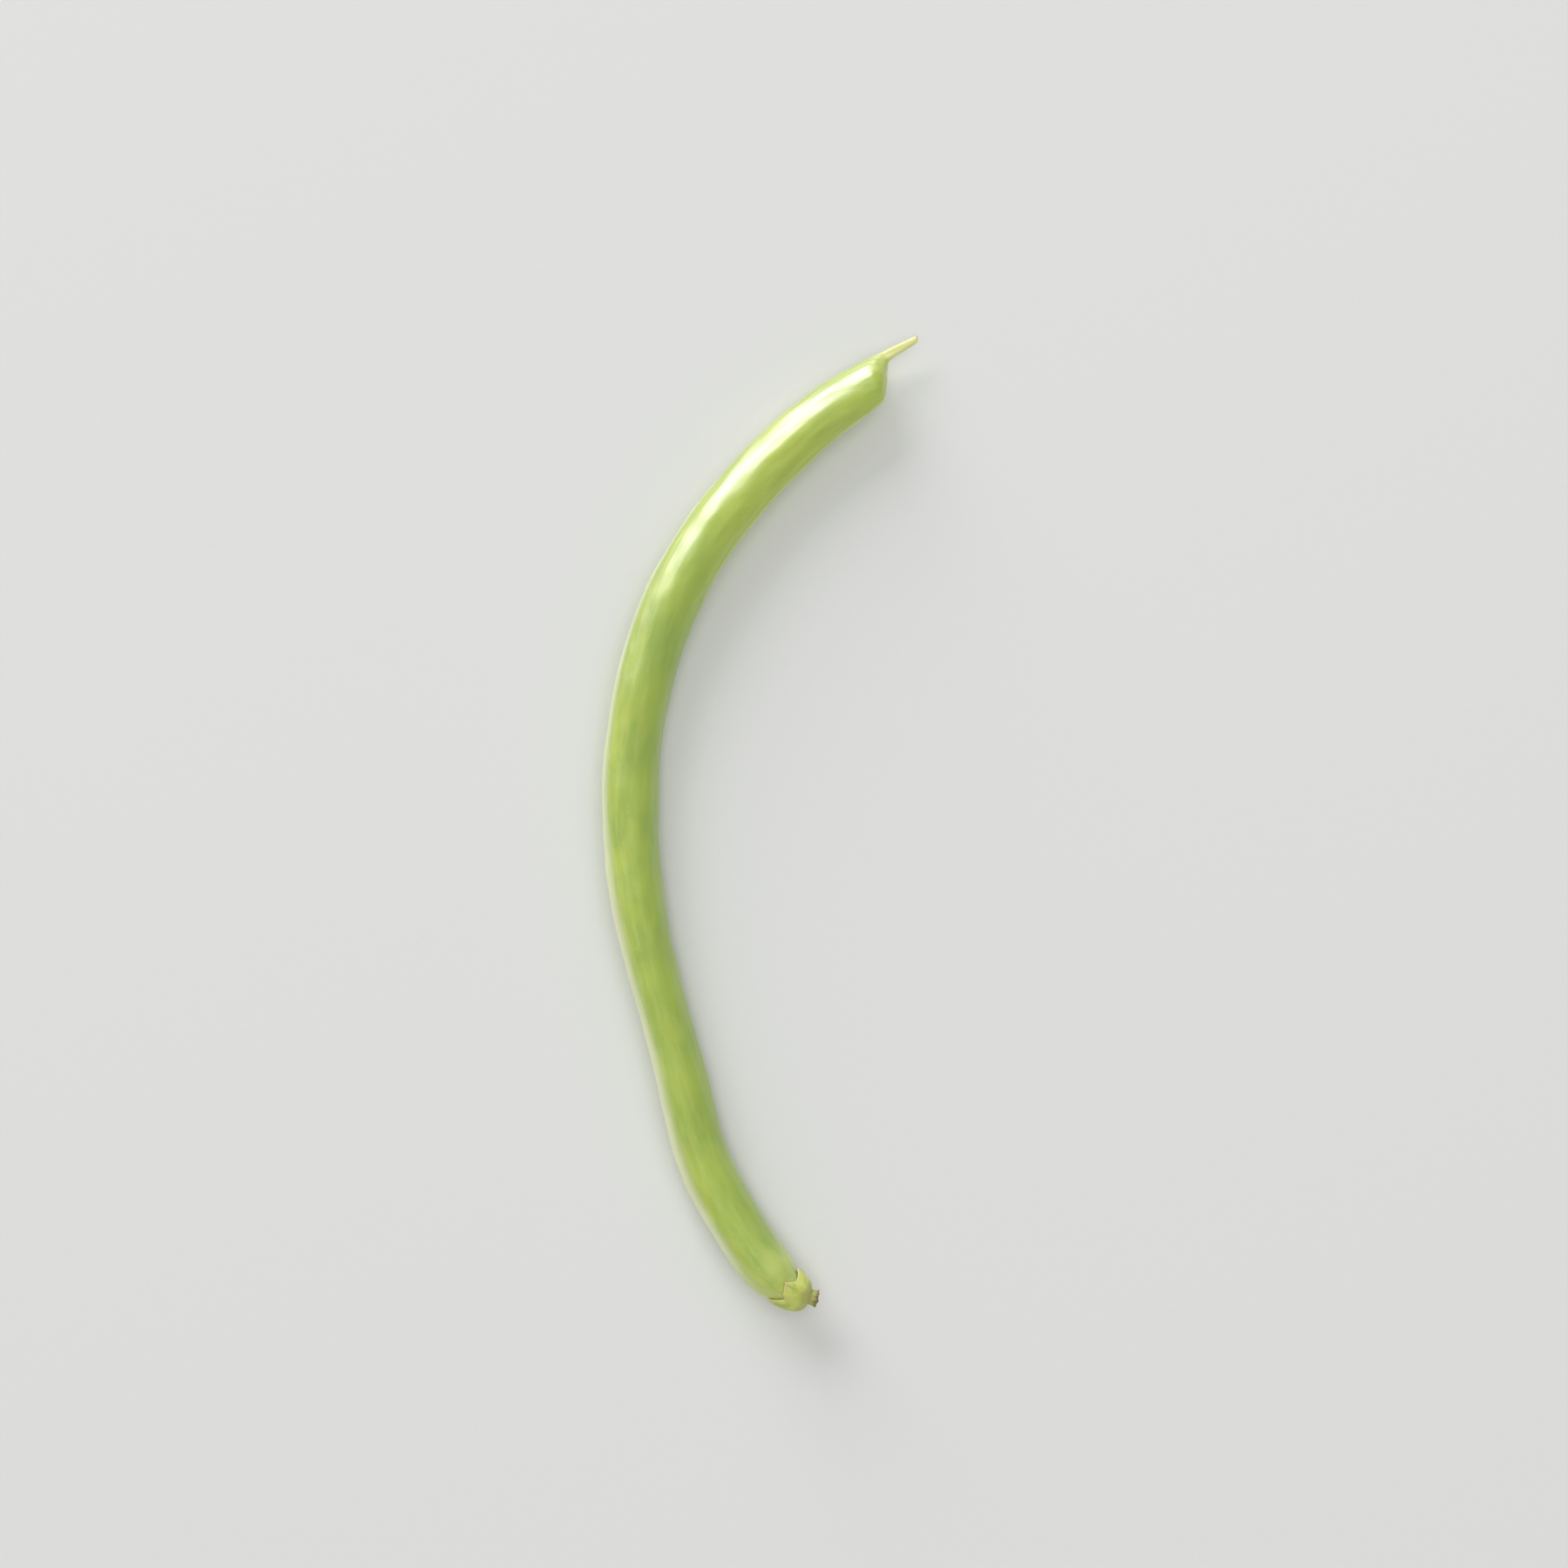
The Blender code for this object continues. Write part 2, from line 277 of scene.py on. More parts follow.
    def height(self, s: Array) -> Array:
        """Height of the spine: the section's reach downwards, less the press, plus a wave and two curls.

        The wave is a raised cosine that touches down at three seeds, and the ends curl up as squares.

        Args:
            s: Distances along the spine.

        Returns:
            The height at each, in millimetres.
        """
        pitch = (self.seeds - 1) / 2 * self.seed_pitch
        last_rest = self.first_seed + 2 * pitch
        wave = self.rest_rise * (1 - np.cos(2 * math.pi * (s - self.first_seed) / pitch)) / 2
        stem_curl = self.stem_curl * (np.clip(self.first_seed - s, 0, None) / self.first_seed) ** 2
        tip_curl = self.tip_curl * (np.clip(s - last_rest, 0, None) / (self.length - last_rest)) ** 2
        body = np.clip(s, self.body_widths[0][0], self.body_widths[-1][0])
        half_width = even_curve(self.body_widths, body) / 2
        half_thickness = half_width * self.thickness_share + self.seed_swell
        roll = self.roll(s)
        lowest = np.hypot(half_width * np.sin(roll), half_thickness * np.cos(roll))
        return lowest - self.press + wave + stem_curl + tip_curl

    def suture_distance(self, s: Array, angle: Array) -> Array:
        """Distance round the skin to the nearer suture: the angle to it times half the width."""
        return np.abs((angle + math.pi / 2) % math.pi - math.pi / 2) * self.width(s) / 2

    def section(self, s: Array, angle: Array) -> tuple[Array, Array]:
        """Work out the section: an ellipse, lifted in bell curves at the sutures and over the seeds.

        Beyond the body it slides outwards, so that only its inner edge draws in.

        Args:
            s: Distances along the spine.
            angle: Angles round the section.

        Returns:
            How far each point lies across the pod and through it, in millimetres.
        """
        flat, seed = self.flatness(s), self.seed_mask(s)
        half_width = self.width(s) / 2
        half_thickness = half_width * self.share_of_width(s)
        from_suture = self.suture_distance(s, angle) / self.suture_half_width
        crest, furrow = np.exp(-(from_suture**2)), np.exp(-((from_suture - self.furrow_at) ** 2))
        suture = flat * (self.suture_height * crest - self.furrow_depth * furrow)
        across = (half_width + suture + self.seed_edge_swell * seed) * np.cos(angle)
        swell = self.seed_swell * seed * np.abs(np.sin(angle))
        through = (half_thickness + suture + swell) * np.sin(angle)
        body_end = self.body_widths[-1][0]
        towards_tip = (s - body_end) / (self.length - self.tip_widths[0][0] - body_end)
        across = across + np.clip(towards_tip, 0, 1) * (self.tip_widths[0][1] / 2 - half_width)
        return across, through

    def surface(self, s: Array, angle: Array) -> Array:
        """Carry the section along the spine: rolled by its angle, then laid out from the spine's point.

        Args:
            s: Distances along the spine.
            angle: Angles round the section.

        Returns:
            Points in millimetres, with three numbers last.
        """
        across, through = self.section(s, angle)
        roll = self.roll(s)
        outward = across * np.cos(roll) - through * np.sin(roll)
        upward = across * np.sin(roll) + through * np.cos(roll)
        plan = self.along_spine(s, 1) + self.along_spine(s, 2) * outward[..., None]
        return np.concatenate([plan, (self.height(s) + upward)[..., None]], axis=-1)

    def normal(self, s: Array, angle: Array) -> Array:
        """Find the outward normal: the cross product of small steps round the pod and along it.

        Args:
            s: Distances along the spine.
            angle: Angles round the section.

        Returns:
            A way of length 1 at each place.
        """
        step = self.normal_step
        s = np.clip(s, self.foot + 2 * step, self.length - 2 * step)
        along = self.surface(s + step, angle) - self.surface(s - step, angle)
        round_it = self.surface(s, angle + step) - self.surface(s, angle - step)
        normal = np.cross(round_it, along)
        return normal / np.linalg.norm(normal, axis=-1, keepdims=True)

    def straight(self, s: Array, angle: Array) -> Array:
        """Where each point would be on an unbowed pod: across, through and along, in millimetres."""
        across, through = self.section(s, angle)
        return np.stack([across, through, s], axis=-1)


FORM = PodForm()


@dataclass(frozen=True)
class Skin:
    """A closed skin made of rings of points, with a pole at each end."""

    name: str
    rings: Array  # ring, side, xyz, in metres
    fields: dict[str, Array]  # numbers or triples over the rings that the finish reads

    def faces(self) -> tuple[Array, Array]:
        """List the faces: squares between neighbouring rings, and fans of triangles at the poles.

        Returns:
            The squares and the triangles, as numbers of points.
        """
        count, sides = self.rings.shape[:2]
        index = np.arange(count * sides).reshape(count, sides)
        beside = np.roll(index, -1, axis=1)
        squares = np.stack([index[:-1], beside[:-1], beside[1:], index[1:]], axis=-1).reshape(-1, 4)
        first, last = count * sides, count * sides + 1
        fans = [
            np.stack([beside[0], index[0], np.full(sides, first)], axis=-1),
            np.stack([index[-1], beside[-1], np.full(sides, last)], axis=-1),
        ]
        return squares, np.concatenate(fans)

    def volume_sign(self, points: Array, squares: Array) -> float:
        """Tell which way the faces point: the sign of the volume that they sweep out from the middle."""
        p = points[squares] - points.mean(axis=0)
        return float(np.sign(np.einsum("ij,ij->i", p[:, 0], np.cross(p[:, 1], p[:, 2])).sum()))

    def build(self) -> bpy.types.Object:
        """Make the mesh, closed at its poles and facing outwards, with its fields as attributes.

        Returns:
            The new object, in the scene's collection.
        """
        flat = self.rings.reshape(-1, 3)
        poles = self.rings[[0, -1]].mean(axis=1)
        points = np.concatenate([flat, poles])
        squares, fans = self.faces()
        if self.volume_sign(points, squares) < 0:
            squares, fans = squares[:, ::-1], fans[:, ::-1]
        mesh = bpy.data.meshes.new(self.name)
        mesh.from_pydata(points, [], squares.tolist() + fans.tolist())
        for name, values in self.fields.items():
            ends = values[[0, -1]].mean(axis=1)
            whole = np.concatenate([values.reshape(len(flat), -1), ends.reshape(2, -1)])
            kind, key = ("FLOAT_VECTOR", "vector") if values.ndim == 3 else ("FLOAT", "value")
            layer = mesh.attributes.new(name, kind, "POINT")
            layer.data.foreach_set(key, whole.astype(np.float32).ravel())
        mesh.shade_smooth()
        mesh.update()
        piece = bpy.data.objects.new(self.name, mesh)
        bpy.context.scene.collection.objects.link(piece)
        return piece


class Graph:
    """A short way to write a shader's nodes."""

    def __init__(self, tree: Tree) -> None:
        """Keep the node tree that is being drawn."""
        self.tree = tree

    def feed(self, node: Node, inputs: Inputs) -> None:
        """Feed a node's inputs.

        Args:
            node: The node to feed.
            inputs: Sockets to join, or plain values to set, by input name or number.
        """
        for key, value in inputs.items():
            if isinstance(value, Socket):
                self.tree.links.new(value, node.inputs[key])
            else:
                node.inputs[key].default_value = value

    def add(self, kind: str, inputs: Inputs | None = None, **settings: object) -> Node:
        """Add one node and feed its inputs.

        Args:
            kind: The node's Blender name.
            inputs: What its inputs are fed.
            **settings: The node's own properties.

        Returns:
            The new node.
        """
        node = self.tree.nodes.new(kind)
        for key, value in settings.items():
            setattr(node, key, value)
        self.feed(node, inputs or {})
        return node

    def attribute(self, name: str, output: str = "Fac") -> Socket:
        """Read one of the piece's own fields."""
        return self.add("ShaderNodeAttribute", attribute_name=name).outputs[output]

    def maths(self, operation: str, *values: object) -> Socket:
        """Work out one sum on numbers."""
        return self.add("ShaderNodeMath", dict(enumerate(values)), operation=operation).outputs[0]

    def mix(self, share: object, low: object, high: object) -> Socket:
        """Blend two colours by a share from 0 to 1."""
        inputs = {0: share, 6: as_rgba(low), 7: as_rgba(high)}
        return self.add("ShaderNodeMix", inputs, data_type="RGBA").outputs[2]

    def layers(self, base: Colour, *layers: tuple[object, object, Colour]) -> Socket:
        """Lay colours over a base one after another.

        Args:
            base: The colour below them all.
            *layers: Each layer's mask, its strength and its colour, the lowest layer first.

        Returns:
            The blended colour.
        """
        colour = base
        for mask, strength, over in layers:
            colour = self.mix(self.maths("MULTIPLY", mask, strength), colour, over)
        return colour

    def spread(
        self, value: object, to_low: float, to_high: float, low: object = 0.0, high: object = 1.0
    ) -> Socket:
        """Stretch a range of numbers to another, easing at both ends and held beyond them."""
        inputs = {0: value, 1: low, 2: high, 3: to_low, 4: to_high}
        return self.add("ShaderNodeMapRange", inputs, interpolation_type="SMOOTHSTEP").outputs[0]

    def noise(self, place: object, scale: object, detail: float) -> Socket:
        """Read smooth noise at a place."""
        inputs = {"Vector": place, "Scale": scale, "Detail": detail}
        return self.add("ShaderNodeTexNoise", inputs).outputs[0]

    def squeeze(self, place: object, width: object, stretch: object) -> Socket:
        """Divide a place by a width, and along the bean by that width times a stretch."""
        length = self.maths("MULTIPLY", width, stretch)
        size = self.add("ShaderNodeCombineXYZ", {0: width, 1: width, 2: length}).outputs[0]
        return self.add("ShaderNodeVectorMath", {0: place, 1: size}, operation="DIVIDE").outputs[0]

    def bump(self, height: object) -> Socket:
        """Turn a height in millimetres into a normal."""
        return self.add("ShaderNodeBump", {"Height": height, "Distance": MM, "Strength": 1.0}).outputs[0]


def as_rgba(colour: object) -> object:
    """Give a plain colour its fourth number, and leave a socket as it is."""
    return (*colour, 1.0) if isinstance(colour, tuple) and len(colour) == 3 else colour


@dataclass(frozen=True)
class Streaks:
    """Soft streaks that run along the bean."""

    width: float = 1.0  # in millimetres
    stretch: float = 4.0  # length over width
    low: float = 0.4  # noise at which a streak begins
    high: float = 0.6  # noise at which it is full


@dataclass(frozen=True)
class Specks:
    """Scattered round specks, with distances in millimetres."""

    spacing: float = 3.0
    radius: float = 0.2
    share: float = 0.3  # of the places that could have one


@dataclass(frozen=True)
class Relief:
    """Relief of living skin in millimetres: fine lengthwise wrinkles and finer round pores."""

    wrinkle: float = 0.02
    wrinkle_width: float = 0.5
    pore: float = 0.01
    pore_width: float = 0.15
    stretch: float = 7.0  # a wrinkle's length over its width


AnyEffect = Streaks | Specks | Relief


class Effects:
    """Builds the effects that several finishes share once, as shader node groups."""

    def __init__(self) -> None:
        """Make one group for each kind of effect."""
        self.trees = {Streaks: self.streaks(), Specks: self.specks(), Relief: self.relief()}

    def place(self, graph: Graph, *effects: AnyEffect) -> list[Socket]:
        """Place effects in a material, read where the skin's points would be on an unbowed bean.

        Args:
            graph: The material's graph.
            *effects: The effects, with their settings.

        Returns:
            The output of each.
        """
        grown = {"Vector": graph.attribute("grown", "Vector")}
        nodes = [
            graph.add("ShaderNodeGroup", grown | asdict(effect), node_tree=self.trees[type(effect)])
            for effect in effects
        ]
        return [node.outputs[0] for node in nodes]

    @staticmethod
    def new_tree(name: str, settings: AnyEffect, output: str) -> tuple[Graph, dict[str, Socket], Node]:
        """Start a group with a vector input, a number input for each setting and one number output.

        Args:
            name: The group's name.
            settings: The values that the inputs start with.
            output: Name of the output.

        Returns:
            The graph to draw on, the inputs read inside it, and its output node.
        """
        tree = bpy.data.node_groups.new(name, "ShaderNodeTree")
        tree.interface.new_socket("Vector", in_out="INPUT", socket_type="NodeSocketVector")
        for key, value in asdict(settings).items():
            socket = tree.interface.new_socket(key, in_out="INPUT", socket_type="NodeSocketFloat")
            socket.default_value = value
        tree.interface.new_socket(output, in_out="OUTPUT", socket_type="NodeSocketFloat")
        graph = Graph(tree)
        given = {socket.name: socket for socket in graph.add("NodeGroupInput").outputs}
        return graph, given, graph.add("NodeGroupOutput")

    def streaks(self) -> Tree:
        """Draw the streaks: noise read at places squeezed lengthwise.

        Returns:
            The group, with a mask as its output.
        """
        graph, given, result = self.new_tree("lengthwise_streaks", Streaks(), "Mask")
        noise = graph.noise(graph.squeeze(given["Vector"], given["width"], given["stretch"]), 1.0, 3.0)
        graph.feed(result, {"Mask": graph.spread(noise, 0.0, 1.0, given["low"], given["high"])})
        return graph.tree

    def specks(self) -> Tree:
        """Draw the specks: 1 within a radius of a cell's point, and only in a share of the cells.

        Returns:
            The group, with a mask as its output.
        """
        graph, given, result = self.new_tree("small_specks", Specks(), "Mask")
        scale = graph.maths("DIVIDE", 1.0, given["spacing"])
        cells = graph.add("ShaderNodeTexVoronoi", {"Vector": given["Vector"], "Scale": scale})
        away = graph.maths("MULTIPLY", cells.outputs["Distance"], given["spacing"])
        near = graph.maths("SUBTRACT", 1.0, graph.maths("DIVIDE", away, given["radius"]))
        chance = graph.add("ShaderNodeSeparateColor", {0: cells.outputs["Color"]}).outputs[0]
        chosen = graph.maths("LESS_THAN", chance, given["share"])
        graph.feed(result, {"Mask": graph.maths("MULTIPLY", graph.spread(near, 0.0, 1.0, high=0.6), chosen)})
        return graph.tree

    def relief(self) -> Tree:
        """Draw the relief: lengthwise noise for the wrinkles plus round noise for the pores.

        Returns:
            The group, with a height in millimetres as its output.
        """
        graph, given, result = self.new_tree("skin_relief", Relief(), "Height")
        squeezed = graph.squeeze(given["Vector"], given["wrinkle_width"], given["stretch"])
        wrinkle = graph.maths("MULTIPLY", graph.noise(squeezed, 1.0, 4.0), given["wrinkle"])
        fine = graph.maths("DIVIDE", 1.0, given["pore_width"])
        pore = graph.maths("MULTIPLY", graph.noise(given["Vector"], fine, 2.0), given["pore"])
        graph.feed(result, {"Height": graph.maths("ADD", wrinkle, pore)})
        return graph.tree


def new_material(name: str, settings: Inputs) -> tuple[bpy.types.Material, Graph, Node]:
    """Start a material with a Principled shader.

    Args:
        name: The material's name.
        settings: Plain values for the shader's own sockets.

    Returns:
        The material, a graph to draw on, and the shader node.
    """
    material = bpy.data.materials.new(name)
    material.use_nodes = True
    graph = Graph(material.node_tree)
    shader = material.node_tree.nodes["Principled BSDF"]
    graph.feed(shader, settings)
    return material, graph, shader


@dataclass(frozen=True)
class PodFinish:
    """Fresh green skin: soft lengthwise streaks, pale sutures partly painted highlight, painted inner shade,
    pale dry beak.
    """

    effects: Effects
    mid_green: Colour = (0.385, 0.51, 0.04)
    deep_green_and_shade: Colour = (0.25, 0.405, 0.025)
    yellow_green: Colour = (0.50, 0.60, 0.035)
    pale_green: Colour = (0.62, 0.69, 0.16)
    # pale suture colour, also the painted highlight along the lit outer edge
    suture_pale_and_highlight: Colour = (0.79, 0.80, 0.53)
    beak_pale: Colour = (0.75, 0.75, 0.31)
    dry_brown: Colour = (0.30, 0.22, 0.09)
    broad: Streaks = Streaks(width=2.6, stretch=2.6, low=0.40, high=0.66)
    fine: Streaks = Streaks(width=0.8, stretch=7.0, low=0.42, high=0.66)
    patches: Streaks = Streaks(width=4.5, stretch=1.8, low=0.50, high=0.68)
    flecks: Specks = Specks(spacing=1.1, radius=0.22, share=0.5)
    marks: Specks = Specks(spacing=9.0, radius=0.55, share=0.35)
    relief: Relief = Relief(wrinkle=0.018, wrinkle_width=0.55, pore=0.034, pore_width=0.4)

    def make(self) -> bpy.types.Material:
        """Draw the material: greens by streaks and specks, then the sutures, neck and beak over them.

        Returns:
            The finished material.
        """
        material, graph, shader = new_material(
            "pod_skin",
            {
                "Metallic": 0.0,
                "IOR": 1.45,
                "Subsurface Weight": 0.18,
                "Subsurface Radius": (0.9, 1.0, 0.35),
                "Subsurface Scale": 0.001,
                "Coat Roughness": 0.42,
                "Coat IOR": 2.05,
                "Sheen Weight": 0.18,
                "Sheen Roughness": 0.4,
                "Sheen Tint": (0.95, 1.0, 0.8, 1.0),
            },
        )
        broad, fine, patches, flecks, marks, height = self.effects.place(
            graph, self.broad, self.fine, self.patches, self.flecks, self.marks, self.relief
        )
        beak = graph.attribute("beak")
        colour = graph.layers(
            self.mid_green,
            (broad, 0.55, self.deep_green_and_shade),
            (patches, 0.7, self.yellow_green),
            (fine, 0.24, self.pale_green),
            (flecks, 0.3, self.pale_green),
            # painted shade: the inner side, away from the key lamp, is laid deeper green; partly a real
            # difference in green
            (graph.attribute("inner"), 0.75, self.deep_green_and_shade),
            (graph.attribute("tipward"), 0.35, self.yellow_green),
            (graph.attribute("seed"), 0.3, self.yellow_green),
            # pale sutures: real suture colour, and along the lit outer edge, most by the tip, a painted
            # highlight
            (graph.attribute("suture"), 0.92, self.suture_pale_and_highlight),
            (graph.attribute("neck"), 0.6, self.pale_green),
            (beak, 1.0, self.beak_pale),
            (marks, 0.4, self.dry_brown),
            (graph.attribute("dry_tip"), 1.0, self.dry_brown),
        )
        drier = graph.maths("MULTIPLY", beak, 0.2)
        rough = graph.maths("ADD", graph.spread(fine, 0.36, 0.46), drier)
        graph.feed(shader, {"Base Color": colour, "Roughness": rough, "Normal": graph.bump(height)})
        graph.feed(shader, {"Coat Weight": graph.spread(beak, 0.9, 0.2)})
        return material


@dataclass(frozen=True)
class CalyxFinish:
    """Thin, pale yellow-green leaf, with greener ribs and a tan edge."""

    effects: Effects
    leaf: Colour = (0.60, 0.65, 0.135)
    rib: Colour = (0.33, 0.45, 0.06)
    pale: Colour = (0.62, 0.62, 0.22)
    edge: Colour = (0.62, 0.54, 0.25)
    base: Colour = (0.42, 0.40, 0.12)
    fine: Streaks = Streaks(width=0.35, stretch=5.0, low=0.40, high=0.62)
    patches: Streaks = Streaks(width=1.3, stretch=1.4, low=0.42, high=0.62)
    relief: Relief = Relief(wrinkle=0.06, wrinkle_width=0.3, pore=0.02, pore_width=0.12)

    def make(self) -> bpy.types.Material:
        """Draw the material: leaf colour with greener ribs, paler towards the rim and tan at the base.

        Returns:
            The finished material.
        """
        material, graph, shader = new_material(
            "calyx_leaf",
            {
                "Metallic": 0.0,
                "Subsurface Weight": 0.15,
                "Subsurface Radius": (0.6, 0.6, 0.2),
                "Subsurface Scale": 0.0008,
                "Sheen Weight": 0.2,
                "Sheen Roughness": 0.5,
            },
        )
        fine, patches, height = self.effects.place(graph, self.fine, self.patches, self.relief)
        colour = graph.layers(
            self.leaf,
            (fine, 0.4, self.pale),
            (patches, 0.5, self.rib),
            (graph.attribute("rib"), 0.7, self.rib),
            (graph.attribute("rim"), 1.0, self.edge),
            (graph.attribute("base"), 1.0, self.base),
        )
        rough = graph.spread(fine, 0.5, 0.65)
        graph.feed(shader, {"Base Color": colour, "Roughness": rough, "Normal": graph.bump(height)})
        return material


@dataclass(frozen=True)
class StalkFinish:
    """Fibrous green-tan stalk, drying to brown where it snapped."""

    effects: Effects
    green: Colour = (0.42, 0.48, 0.12)
    tan: Colour = (0.46, 0.45, 0.14)
    brown: Colour = (0.20, 0.13, 0.05)
    fibres: Streaks = Streaks(width=0.22, stretch=8.0, low=0.40, high=0.60)
    relief: Relief = Relief(wrinkle=0.1, wrinkle_width=0.2, pore=0.04, pore_width=0.1)

    def make(self) -> bpy.types.Material:
        """Draw the material: green to tan by fibres, then brown over the scar.

        Returns:
            The finished material.
        """
        material, graph, shader = new_material("stalk_fibre", {"Metallic": 0.0})
        fibre, height = self.effects.place(graph, self.fibres, self.relief)
        colour = graph.layers(
            self.green,
            (fibre, 1.0, self.tan),
            (graph.attribute("scar"), graph.spread(fibre, 0.95, 0.6), self.brown),
        )
        rough = graph.spread(fibre, 0.65, 0.85)
        graph.feed(shader, {"Base Color": colour, "Roughness": rough, "Normal": graph.bump(height)})
        return material


@dataclass(frozen=True)
class EndTint:
    """A tint at one end of the pod, with an uneven border; all in millimetres."""

    reach: float
    unevenness: float
    fade: float

    def at(self, distance: Array, uneven: Array) -> Array:
        """Share of the tint at distances from the end: 1 near it, easing to 0 at its reach."""
        return smooth_step((self.reach + self.unevenness * uneven - distance) / self.fade)


@dataclass(frozen=True)
class Pod:
    """The pod's fine skin: the solid's form with uneven growth, creases and pressed rest spots."""

    finish: PodFinish
    rings: int = 700
    sides: int = 132
    suture_crowding: float = 0.3
    lump_mm: float = 0.07
    dimple_mm: float = 0.035
    wrinkle_mm: float = 0.018
    groove_mm: float = 0.07
    groove_half_width: float = 0.14
    end_lumps: float = 0.25  # share of the lumps that is left at the round ends
    end_wrinkles: float = 1.5  # how much higher the wrinkles are there
    inner_shade_until: float = 132.0  # distance up to which the inner side is painted a deeper green: painted shade, partly a real difference in green
    tipward_from: float = 102.0  # distance from which the skin turns yellower
    stemward_until: float = 90.0  # distance up to which the outer pale strip is wider
    tint_fade: float = 25.0
    pale_half_width: float = 0.4  # of the pale strip by the inner suture
    outer_widening: float = 0.65  # of the strip by the outer suture, with more at both ends
    # the widening by the tip paints a highlight along the lit outer edge
    tip_highlight_widening: float = 0.55
    stem_widening: float = 0.45
    inner_paleness: float = 0.45
    neck: EndTint = EndTint(reach=12.0, unevenness=3.0, fade=10.0)
    beak: EndTint = EndTint(reach=8.2, unevenness=0.8, fade=4.0)
    dry_tip: EndTint = EndTint(reach=0.9, unevenness=0.3, fade=0.8)

    def grid(self) -> tuple[Array, Array]:
        """Lay out the skin: rings crowd evenly towards both ends, and sides towards the sutures.

        Returns:
            Distances along the spine, and angles round the section.
        """
        climb = (np.arange(self.rings) + 0.5) / self.rings
        eased = 0.5 * climb + 0.5 * (1 - np.cos(math.pi * climb)) / 2
        s = FORM.foot + (FORM.length - FORM.foot) * eased
        turn = 2 * math.pi * np.arange(self.sides) / self.sides
        angle = turn - self.suture_crowding * np.sin(2 * turn)
        return np.meshgrid(s, angle, indexing="ij")

    def relief(self, s: Array, angle: Array) -> Array:
        """Work out the unevenness of growth: lumps, dimples and wrinkles, less the sutures' groove.

        Args:
            s: Distances along the spine.
            angle: Angles round the section.

        Returns:
            The height above the form, in millimetres.
        """
        place = FORM.straight(s, angle)
        flat = FORM.flatness(s)
        lumps = self.lump_mm * Ripple(11, (5.0, 5.0, 13.0)).at(place)
        dimples = self.dimple_mm * Ripple(12, (2.2, 2.2, 4.5)).at(place)
        wrinkles = self.wrinkle_mm * Ripple(13, (0.75, 0.75, 8.0)).at(place)
        groove = self.groove_mm * np.exp(-((FORM.suture_distance(s, angle) / self.groove_half_width) ** 2))
        ends = self.end_lumps + (1 - self.end_lumps) * flat
        wrinkling = (1 + self.end_wrinkles * (1 - flat)) * np.minimum(1, 3 * ends)
        return ends * (lumps + dimples) + wrinkling * wrinkles - groove * flat

    def fields(self, s: Array, angle: Array) -> dict[str, Array]:
        """Work out what the finish reads: places for its patterns, and masks from 0 to 1 for its tints.

        Args:
            s: Distances along the spine.
            angle: Angles round the section.

        Returns:
            The fields by name.
        """
        outer = 0.5 + 0.5 * np.cos(angle)
        tipward = smooth_step((s - self.tipward_from) / self.tint_fade)
        stemward = smooth_step((self.stemward_until - s) / self.tint_fade)
        # the outer strip is wider and paler than the inner one, most by the tip: real suture colour with a
        # painted highlight
        widening = self.outer_widening + self.tip_highlight_widening * tipward + self.stem_widening * stemward
        from_suture = FORM.suture_distance(s, angle) / (self.pale_half_width + outer * widening)
        paleness = self.inner_paleness + (1 - self.inner_paleness) * outer
        # mask of the inner side, which carries painted shade, partly a real difference in green
        inner = smooth_step(0.5 - 0.6 * np.cos(angle))
        from_tip = FORM.length - s
        grown = FORM.straight(s, angle)
        uneven = Ripple(21, (2.0, 2.0, 5.0)).at(grown)
        return {
            "grown": grown,
            "suture": np.exp(-(from_suture**2)) * paleness * FORM.flatness(s),
            "seed": FORM.seed_mask(s) * np.abs(np.sin(angle)),
            "inner": inner * smooth_step((self.inner_shade_until - s) / self.tint_fade),
            "tipward": tipward,
            "neck": self.neck.at(s - FORM.foot, uneven),
            "beak": self.beak.at(from_tip, uneven),
            "dry_tip": self.dry_tip.at(from_tip, uneven),
        }

    def place(self, points: Array) -> Array:
        """Find where the solid lies: the middle of its box in plan, less that of the form.

        Args:
            points: The form's points, in millimetres.

        Returns:
            The shift in plan, in millimetres.
        """
        low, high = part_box("pod")
        middle = (np.array(low) + np.array(high))[:2] / 2 / MM
        return middle - (points.min(axis=(0, 1)) + points.max(axis=(0, 1)))[:2] / 2

    def build(self) -> tuple[bpy.types.Object, Array]:
        """Make the pod's skin and dress it.

        Returns:
            The piece, and the shift in plan from the form to the solid, in millimetres.
        """
        s, angle = self.grid()
        base = FORM.surface(s, angle)
        shift = self.place(base)
        points = base + FORM.normal(s, angle) * self.relief(s, angle)[..., None]
        points[..., :2] += shift
        points[..., 2] = np.maximum(points[..., 2], 0.0)
        piece = Skin("pod_skin", points * MM, self.fields(s, angle)).build()
        piece.data.materials.append(self.finish.make())
        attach(piece, ROOT)
        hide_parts("pod")
        return piece, shift


